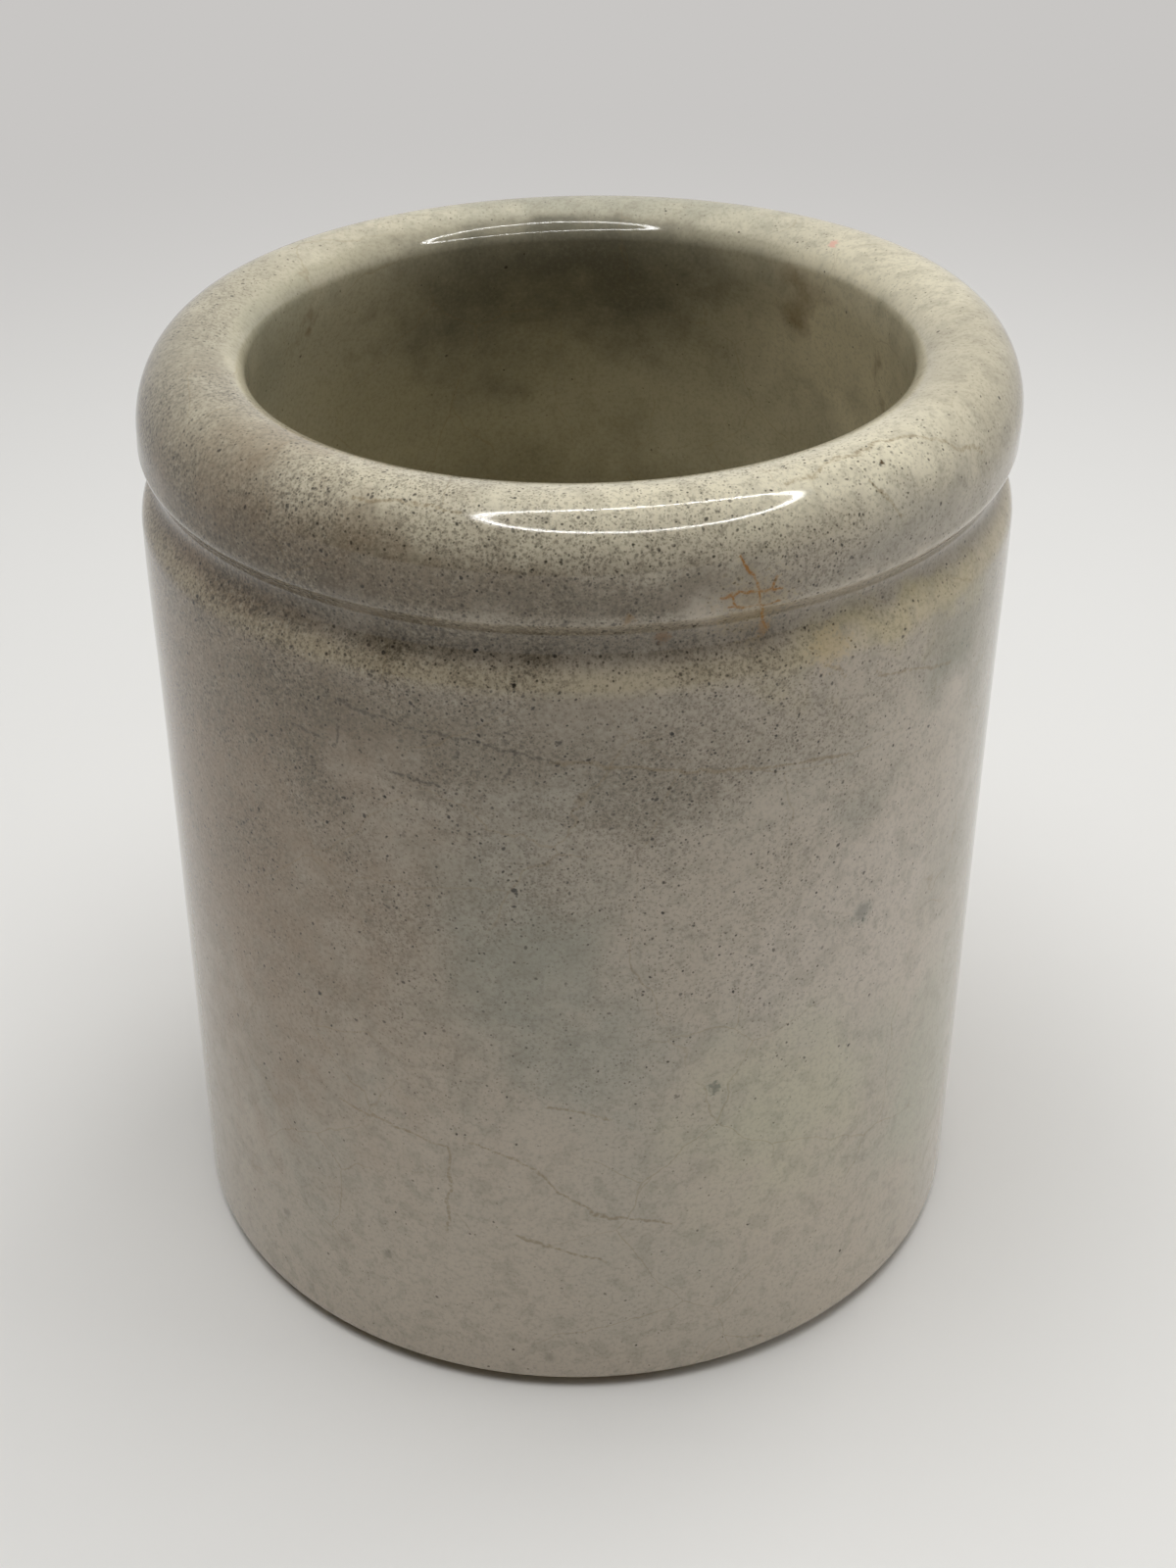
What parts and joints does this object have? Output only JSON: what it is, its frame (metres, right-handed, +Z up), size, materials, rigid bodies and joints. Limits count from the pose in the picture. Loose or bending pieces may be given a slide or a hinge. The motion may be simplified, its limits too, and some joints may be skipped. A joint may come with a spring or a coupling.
{
  "type": "stoneware jar",
  "caption": "Straight-sided glazed stoneware jar with a thick rolled rim and a string groove under it, open at the top, for preserves, dry goods or utensils.",
  "frame": {"origin": "centre of the foot, on the surface that the jar stands on", "axes": "+Z up along the jar's axis of revolution, towards the open mouth; -Y is the side that the picture sees"},
  "size_m": [0.085, 0.085, 0.099],
  "materials": {
    "clay_body": "bare fired stoneware, cream, matt and slightly gritty",
    "glaze_coat": "clear glossy glaze over cream-grey stoneware, with fine dark iron specks and crazing"
  },
  "bodies": {
    "root": {"clay_body": "clay_body", "glaze_coat": "glaze_coat"}
  },
  "joints": []
}
